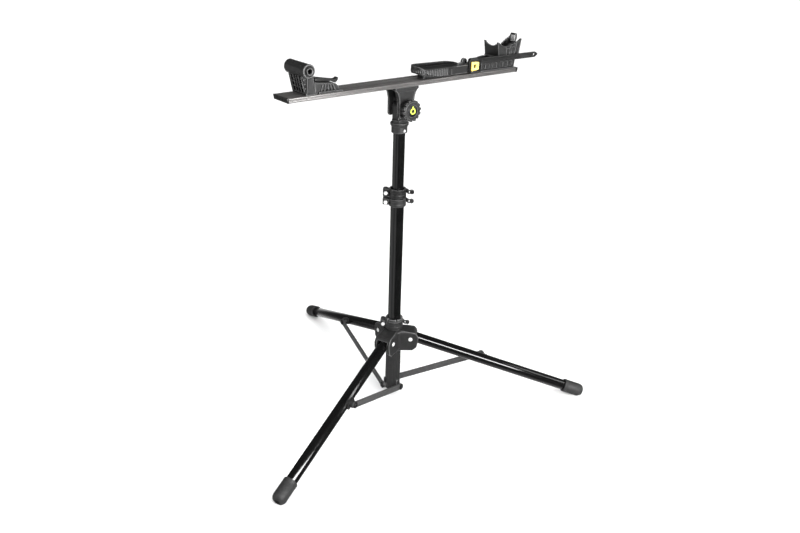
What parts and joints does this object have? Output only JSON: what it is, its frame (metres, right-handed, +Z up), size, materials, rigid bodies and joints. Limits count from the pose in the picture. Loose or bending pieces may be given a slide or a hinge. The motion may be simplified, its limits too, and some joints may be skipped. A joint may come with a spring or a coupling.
{
  "type": "bike repair stand",
  "caption": "Folding tripod work stand with a telescopic mast and a tilting rail that holds a bicycle by its fork ends and bottom bracket",
  "frame": {"origin": "on the floor, under the mast axis", "axes": "+Z up along the mast, +X along the rail towards the bottom bracket cradle, -Y towards the hand knob"},
  "size_m": [1.1926, 1.1087, 1.2234],
  "materials": {
    "tube_black": "gloss black anodised",
    "casting_grey": "satin moulded, fine grain",
    "black_plastic": "satin black",
    "rubber": "matte",
    "strut_grey": "satin anodised",
    "rail_anodised": "brushed dark anodised",
    "steel": "bright",
    "yellow_plastic": "satin yellow",
    "pad_grey": "matte"
  },
  "bodies": {
    "base": {"lower_mast": "tube_black", "base_casting": "casting_grey", "base_plug": "black_plastic", "height_clamp": "black_plastic", "height_clamp_bolt": "steel", "stop_clamp": "casting_grey", "stop_clamp_bolt": "steel"},
    "hub": {"hub_casting": "casting_grey", "hub_clamp": "casting_grey", "hub_clamp_bolt": "steel", "leg_pivot_bolt_1": "steel", "leg_pivot_bolt_2": "steel", "leg_pivot_bolt_3": "steel"},
    "leg_1": {"leg_tube_1": "tube_black", "leg_lug_1": "casting_grey", "foot_1": "rubber"},
    "leg_2": {"leg_tube_2": "tube_black", "leg_lug_2": "casting_grey", "foot_2": "rubber"},
    "leg_3": {"leg_tube_3": "tube_black", "leg_lug_3": "casting_grey", "foot_3": "rubber"},
    "strut_1_body": {"strut_1": "strut_grey", "strut_base_bolt_1": "black_plastic", "strut_top_bolt_1": "black_plastic"},
    "strut_2_body": {"strut_2": "strut_grey", "strut_base_bolt_2": "black_plastic", "strut_top_bolt_2": "black_plastic"},
    "strut_3_body": {"strut_3": "strut_grey", "strut_base_bolt_3": "black_plastic", "strut_top_bolt_3": "black_plastic"},
    "hub_lever_body": {"hub_lever": "casting_grey"},
    "stop_lever_body": {"stop_lever": "casting_grey"},
    "height_lever_body": {"height_lever": "black_plastic"},
    "guide": {"mast_guide": "black_plastic"},
    "mast": {"upper_mast": "tube_black", "head_collar": "casting_grey", "collar_screw": "steel"},
    "rail_beam": {"rail_bracket": "casting_grey", "rail": "rail_anodised", "rail_cap_fork": "black_plastic", "rail_cap_bb": "black_plastic", "tilt_bolt": "steel"},
    "knob": {"tilt_knob": "black_plastic", "knob_disc": "yellow_plastic"},
    "fork_carriage": {"fork_bracket": "casting_grey", "fork_tube": "casting_grey", "axle_ring_near": "casting_grey", "axle_ring_far": "casting_grey", "lock_housing": "casting_grey"},
    "lock_lever_body": {"lock_lever": "casting_grey"},
    "cradle": {"bb_carriage": "black_plastic", "bb_saddle": "black_plastic", "bb_jaw": "black_plastic", "bb_pad": "pad_grey", "strap_loop": "rubber", "strap_eyelet": "black_plastic", "buckle_body": "black_plastic", "strap_tail": "rubber"},
    "buckle_lever_body": {"buckle_lever": "yellow_plastic"}
  },
  "joints": [
    {"name": "hub_slide", "type": "slide", "parent": "base", "child": "hub", "axis": [0, 0, 1], "range_m": [0, 0.3993]},
    {"name": "leg_fold_1", "type": "hinge", "parent": "hub", "child": "leg_1", "pos_m": [0.04555, -0.03426, 0.2373], "axis": [0.6011, 0.7992, 0], "range_deg": [0, 70.66]},
    {"name": "leg_fold_2", "type": "hinge", "parent": "hub", "child": "leg_2", "pos_m": [0.0069, 0.05658, 0.2373], "axis": [-0.9927, 0.121, 0], "range_deg": [0, 70.66]},
    {"name": "leg_fold_3", "type": "hinge", "parent": "hub", "child": "leg_3", "pos_m": [-0.05245, -0.02232, 0.2373], "axis": [0.3915, -0.9202, 0], "range_deg": [0, 70.66]},
    {"name": "strut_fold_1", "type": "hinge", "parent": "base", "child": "strut_1_body", "pos_m": [0.02623, 0.02406, 0.041], "axis": [-0.6011, -0.7992, 0], "range_deg": [0, 62.35]},
    {"name": "strut_fold_2", "type": "hinge", "parent": "base", "child": "strut_2_body", "pos_m": [-0.03396, 0.01069, 0.041], "axis": [0.9927, -0.121, 0], "range_deg": [0, 62.35]},
    {"name": "strut_fold_3", "type": "hinge", "parent": "base", "child": "strut_3_body", "pos_m": [0.00772, -0.03475, 0.041], "axis": [-0.3915, 0.9202, 0], "range_deg": [0, 62.35]},
    {"name": "hub_lever_turn", "type": "hinge", "parent": "hub", "child": "hub_lever_body", "pos_m": [-0.01722, 0.03934, 0.287], "axis": [0, 0, 1], "range_deg": [0, 110]},
    {"name": "stop_lever_turn", "type": "hinge", "parent": "base", "child": "stop_lever_body", "pos_m": [-0.01722, 0.03934, 0.7305], "axis": [0, 0, 1], "range_deg": [0, 110]},
    {"name": "height_lever_turn", "type": "hinge", "parent": "base", "child": "height_lever_body", "pos_m": [-0.01722, 0.03934, 0.76125], "axis": [0, 0, 1], "range_deg": [0, 110]},
    {"name": "mast_height", "type": "slide", "parent": "base", "child": "guide", "axis": [0, 0, 1], "range_m": [-0.16, 0.25]},
    {"name": "mast_swivel", "type": "hinge", "parent": "guide", "child": "mast", "pos_m": [0, 0, 0.45], "axis": [0, 0, 1], "continuous": true},
    {"name": "rail_tilt", "type": "hinge", "parent": "mast", "child": "rail_beam", "pos_m": [0, 0, 1.0355], "axis": [0, 1, 0], "range_deg": [-90, 90]},
    {"name": "knob_turn", "type": "hinge", "parent": "rail_beam", "child": "knob", "pos_m": [0, -0.04, 1.0355], "axis": [0, -1, 0], "range_deg": [0, 360]},
    {"name": "fork_slide", "type": "slide", "parent": "rail_beam", "child": "fork_carriage", "axis": [1, 0, 0], "range_m": [-0.03, 0.2]},
    {"name": "lock_lever_turn", "type": "hinge", "parent": "fork_carriage", "child": "lock_lever_body", "pos_m": [-0.316, 0, 1.1549], "axis": [0, -1, 0], "range_deg": [0, 60]},
    {"name": "cradle_slide", "type": "slide", "parent": "rail_beam", "child": "cradle", "axis": [1, 0, 0], "range_m": [-0.16, 0]},
    {"name": "buckle_turn", "type": "hinge", "parent": "cradle", "child": "buckle_lever_body", "pos_m": [0.249, -0.0457, 1.1419], "axis": [0, 0, -1], "range_deg": [0, 45]}
  ],
  "couplings": [
    {"joint": "leg_fold_1", "follows": "hub_slide", "rad_per_m": 3.0841},
    {"joint": "leg_fold_2", "follows": "hub_slide", "rad_per_m": 3.0841},
    {"joint": "leg_fold_3", "follows": "hub_slide", "rad_per_m": 3.0841},
    {"joint": "strut_fold_1", "follows": "hub_slide", "rad_per_m": 2.721},
    {"joint": "strut_fold_2", "follows": "hub_slide", "rad_per_m": 2.721},
    {"joint": "strut_fold_3", "follows": "hub_slide", "rad_per_m": 2.721}
  ]
}
